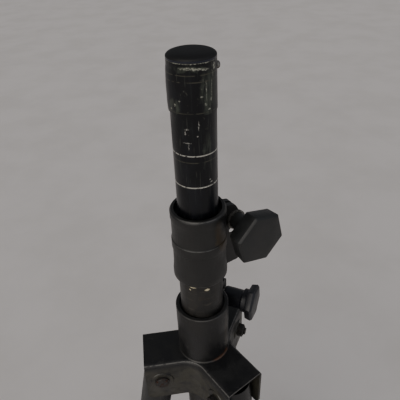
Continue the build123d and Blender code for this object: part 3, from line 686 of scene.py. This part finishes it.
def hexagon(radius, corner, level, turn):
    """Ring round a hexagon, `radius` to its corners, which are rounded to the radius `corner`."""
    centre = radius - corner / cos(pi / 6)
    ring = []
    for vertex in range(6):
        middle = radians(turn) + vertex * pi / 3
        for k in range(ARC_STEPS + 1):
            angle = middle + (k / ARC_STEPS - 0.5) * pi / 3
            ring.append((centre * cos(middle) + corner * cos(angle),
                         centre * sin(middle) + corner * sin(angle), level))
    return ring


def disc(radius, level, turn):
    """Round ring with as many points as hexagon() gives."""
    count = 6 * (ARC_STEPS + 1)
    start = radians(turn) - (ARC_STEPS / 2) * tau / count
    return [(radius * cos(start + tau * i / count), radius * sin(start + tau * i / count), level)
            for i in range(count)]


def knob_finish(name, base, rubbed):
    """Moulded ABS: fine grain, faint haze and a few nicks from being knocked."""
    material, tree, shader, place = new_material(name, Roughness=0.45, IOR=1.5)
    haze = blotches(tree, place, 0.016, 0.35, 0.7)
    nicks = blotches(tree, place, 0.0030, 0.68, 0.74, detail=5.0)
    colour = tint(tree, haze, linear(base), linear(rubbed))
    colour = tint(tree, times(tree, nicks, 0.4), colour, linear("#3c3b37"))
    tree.links.new(colour, shader.inputs["Base Color"])
    tree.links.new(ramp(tree, haze, 0.38, 0.56), shader.inputs["Roughness"])
    emboss(tree, shader, blotches(tree, place, 0.0007, 0.35, 0.65), 0.00005, 0.7)
    return material


for clamp, (ear, grip, thick, neck, turn, base, rubbed) in KNOBS.items():
    joint = joints[f"{clamp}_knob_turn"]
    along = Vector(joint["axis"]).normalized()
    outward = Vector((0, 0, 1)).cross(along) * -1
    basis = Matrix((outward, along.cross(outward), along)).transposed()
    centre = Vector(joint["pos_m"])
    face, back = KNOB_FACE / MM, KNOB_FACE / MM - thick
    start = ear + WASHER_STACK
    rings = [[(0, 0, start)]]
    for radius, level in ((neck - 0.5, start), (neck, start + 0.5), (neck, back - 7.2),
                          (neck + 0.5, back - 6.2), (neck + 2.2, back - 5.0), (0.64 * grip, back - 0.8),
                          (0.70 * grip, back)):
        rings.append(disc(radius, level, turn))
    for inset, corner, level in ((2.6, 1.2, back), (1.5, 1.5, back + 0.2), (1.1, 1.6, back + 0.9),
                                 (0.0, 1.7, face - 2.2), (0.10, 1.6, face - 1.95), (0.30, 1.6, face - 1.75),
                                 (1.55, 1.4, face - 0.30), (1.80, 1.3, face - 0.10), (2.15, 1.2, face)):
        rings.append(hexagon(grip - inset, corner, level, turn))
    rings += [disc(0.5 * grip, face, turn), [(0, 0, face)]]
    placed = [[centre + basis @ (Vector(p) * MM) for p in ring] for ring in rings]
    mesh = skinned(f"{clamp}_knob_grip", placed)
    material = knob_finish(f"moulded ABS of the {clamp} grip", base, rubbed)
    finish_mesh(f"{clamp}_knob_grip", mesh, f"{clamp}_knob", material, (f"{clamp}_knob",), 40)
    dress(f"{clamp}_knob_stud", zinc)
    dress(f"{clamp}_knob_washer", zinc)

# ---- Hub ------------------------------------------------------------------------------------
# Three-lobed shell pressed from steel sheet, with a sleeve welded through its plate.  The
# sleeve is split between two ears at the back.  Black enamel with dust, painted highlights
# along the folds and the sleeve's top edge and seam, and painted sheen on upright faces.
SLEEVE_R = 26.3 * MM


def hub_dust_and_highlights(tree, place, colour):
    """Dust with painted sheen on the upright faces, and a thin grey painted highlight along the folded edge.
    """
    height = round_the_pole(tree, place)[1]
    # Upright faces below the plate: brownish dust patches that also serve as painted sheen.
    skirt_dust_and_sheen = add(tree, "ShaderNodeMapRange", {"Value": height, "From Min": -0.004, "From Max": -0.012},
                interpolation_type="SMOOTHSTEP").outputs[0]
    film = blotches(tree, place, 0.013, 0.28, 0.62, detail=5.0)
    colour = tint(tree, times(tree, skirt_dust_and_sheen, times(tree, film, 0.9)), colour, linear("#38362e"))
    # Painted highlight: a thin grey line along the folded edge, broken up by noise.
    fold_highlight = bands(tree, height, ((-1.15, 0.35),))
    highlight_breaks = blotches(tree, place, 0.006, 0.32, 0.5)
    return tint(tree, times(tree, fold_highlight, times(tree, highlight_breaks, 0.7)), colour, linear("#6a6864"))


def sleeve_rust_and_highlights(tree, place, colour):
    """Rust at the welded foot, painted highlights on the front of the seam and top edge, and painted sheen
    with dust down the right side.
    """
    turn, height = round_the_pole(tree, place)
    ragged = wobble(tree, place, 0.006, 0.003)
    # Right side of the sleeve: a brownish band of painted sheen with dust.
    flank_dust_and_sheen = marks(tree, turn, height, ragged, ((62, 30, 3.5, 30),), SLEEVE_R)
    colour = tint(tree, times(tree, flank_dust_and_sheen, 0.5), colour, linear("#3b342a"))
    # Painted highlight along the front of the welded seam.
    weld_seam_highlight = marks(tree, turn, height, (0, 0, 0), ((0, 0.8, 30, 0.4),), SLEEVE_R)
    colour = tint(tree, times(tree, weld_seam_highlight, 0.35), colour, linear("#4a463f"))
    rust = marks(tree, turn, height, ragged, ((38, 1.0, 9, 2.2), (60, 2.0, 4, 2.5)), SLEEVE_R)
    colour = tint(tree, times(tree, rust, 0.7), colour, linear("#4f3018"))
    # Painted highlight along the front of the sleeve's top edge, broken up by noise.
    rim_highlight = marks(tree, turn, height, (0, 0, 0), ((0, 62.7, 26, 0.35),), SLEEVE_R)
    rim_highlight = times(tree, rim_highlight, blotches(tree, place, 0.004, 0.3, 0.5))
    return tint(tree, times(tree, rim_highlight, 0.5), colour, linear("#5a5854"))


shell_enamel = enamel("stoved enamel on the hub", "#121213", "#302f2c", "#1c1c1b", 0.4, hub_dust_and_highlights)
sleeve_enamel = enamel("stoved enamel on the sleeve", "#131314", "#343330", "#1e1d1b", 0.4, sleeve_rust_and_highlights)
softened("hub_pressing", "hub_shell", "hub", shell_enamel, 0.5 * MM)
softened("hub_sleeve_tube", "hub_sleeve", "hub", sleeve_enamel, 0.4 * MM)
dress("hub_liner", plug_plastic)

# ---- Pivot bolts ----------------------------------------------------------------------------
# Flat round bolt heads on one cheek of each lobe and hexagon nuts on the other carry the legs.
# The heads are more rusty than the nuts, which are only dirty.
PAD_FACE = 23.7 * MM
bolt_steel = rusted("rusting bolt steel", "#32302e", "#43281e", 0.50, 0.66)
nut_steel = rusted("dirty nut steel", "#2d2c2a", "#38281f", 0.55, 0.75)
bolt_seats, nut_seats = [], []
for side in LOBES:
    out, across, pivot = lobe(side)
    bolt_seats.append((pivot + across * (PAD_FACE - 0.2 * MM), across))
    nut_seats.append((pivot - across * (PAD_FACE - 0.2 * MM), across * -1))
heads("pivot_bolt_heads", bolt_seats, "hub", bolt_steel, ("pivot_bolts",), "rusty_steel",
      corners=40, head_radius=7.5, head_height=2.2, crown_radius=5.4, crown_height=1.0,
      stud_radius=2.0, stud_height=1.0)
heads("pivot_nut_heads", nut_seats, "hub", nut_steel, ("pivot_nuts",), "rusty_steel",
      corners=6, head_radius=7.5, head_height=6.2, crown_radius=5.4, crown_height=0.9,
      stud_radius=3.9, stud_height=9.0)

# ---- Legs -----------------------------------------------------------------------------------
# Steel tubes painted black, each on a plastic bush at the pivot.  Scratched lengthwise from
# being carried.
leg_paint, tree, shader, place = new_material("scratched leg paint", Roughness=0.45)
haze = blotches(tree, place, 0.02, 0.4, 0.7, (1, 1, 0.4))
lines = blotches(tree, place, 0.0025, 0.62, 0.74, (1, 1, 0.08), 3.0)
colour = tint(tree, haze, linear("#101112"), linear("#191a1b"))
colour = tint(tree, times(tree, lines, 0.45), colour, linear("#484743"))
tree.links.new(colour, shader.inputs["Base Color"])
tree.links.new(ramp(tree, haze, 0.38, 0.58), shader.inputs["Roughness"])
emboss(tree, shader, blotches(tree, place, 0.0018, 0.3, 0.7, detail=1.0), 0.00004, 0.5)
emboss(tree, shader, lines, -0.00006)
for side in LOBES:
    dress(f"{side}_leg", leg_paint)
    dress(f"{side}_leg_bush", plug_plastic)

# ---- Braces ---------------------------------------------------------------------------------
# Pairs of flat steel bars with rounded ends, painted like the legs.  A rivet joins them to the
# leg and a pin to the lower bracket; both have round zinc-plated heads.
BRACE_HEAD = 21.5 * MM
for side in LOBES:
    out, across, pivot = lobe(side)
    leg_pin = Vector(joints[f"{side}_brace_swing"]["pos_m"])
    bracket_pin = Vector((pivot.x, pivot.y, BRACKET_Z))
    for bar in ("a", "b"):
        softened(f"{side}_brace_bar_{bar}", f"{side}_brace_{bar}", f"{side}_brace", leg_paint,
                 0.5 * MM)
    for pin, body, node, gap in ((leg_pin, f"{side}_leg", f"{side}_brace_rivet", 0.1),
                                 (bracket_pin, f"{side}_brace", f"{side}_bracket_pin", -0.2)):
        seats = [(pin + across * way * (BRACE_HEAD + gap * MM), across * way) for way in (-1, 1)]
        heads(f"{node}_heads", seats, body, zinc, (), "zinc_steel",
              corners=36, head_radius=6.3, head_height=1.5, crown_radius=4.2, crown_height=0.9,
              stud_radius=2.0, stud_height=1.0)
        dress(node, zinc)

# ---- Rubber feet ----------------------------------------------------------------------------
# Moulded rubber cups pushed over the legs, with four grip ribs and a round sole.
# Dull black, with a grey bloom.
LEG_REACH, FOOT_BORE = 790.0, 42.0
CUP_R, SOLE_R, CUP_BORE = 21.5, 22.5, 17.6
RIBS, RIB_PITCH = 4, 6.0
rubber, tree, shader, place = new_material("moulded rubber", Roughness=0.8, IOR=1.5)
bloom = blotches(tree, place, 0.009, 0.4, 0.7)
tree.links.new(tint(tree, bloom, linear("#0e0e0e"), linear("#1f1e1d")), shader.inputs["Base Color"])
tree.links.new(ramp(tree, bloom, 0.7, 0.92), shader.inputs["Roughness"])
emboss(tree, shader, blotches(tree, place, 0.0010, 0.3, 0.7), 0.00006, 0.8)
mouth = LEG_REACH - FOOT_BORE
foot_outline = [(0.0, LEG_REACH - 7.8), (CUP_BORE, LEG_REACH - 7.8), (CUP_BORE, mouth),
                (CUP_R - 1.2, mouth), (CUP_R - 0.3, mouth + 0.5), (CUP_R, mouth + 1.4)]
for rib in range(RIBS):
    low = mouth + 6.0 + rib * RIB_PITCH
    foot_outline += [(CUP_R, low), (CUP_R - 0.9, low + 0.6), (CUP_R - 0.9, low + 2.2), (CUP_R, low + 2.8)]
for k in range(19):
    lean = radians(-17 + 107 * k / 18)
    foot_outline.append((max(0.0, SOLE_R * cos(lean)), LEG_REACH + SOLE_R * sin(lean)))
foot_outline[-1] = (0.0, LEG_REACH + SOLE_R)
for side in LOBES:
    out, across, pivot = lobe(side)
    down = out * sin(LEG_SPLAY) - Vector((0, 0, cos(LEG_SPLAY)))
    basis = Matrix((across, down.cross(across), down)).transposed()
    rings = [[pivot + basis @ (Vector(p) * MM) for p in ring] for ring in turned(foot_outline, 64)]
    finish_mesh(f"{side}_rubber_foot", skinned(f"{side}_rubber_foot", rings), f"{side}_leg", rubber,
                (f"{side}_foot",))
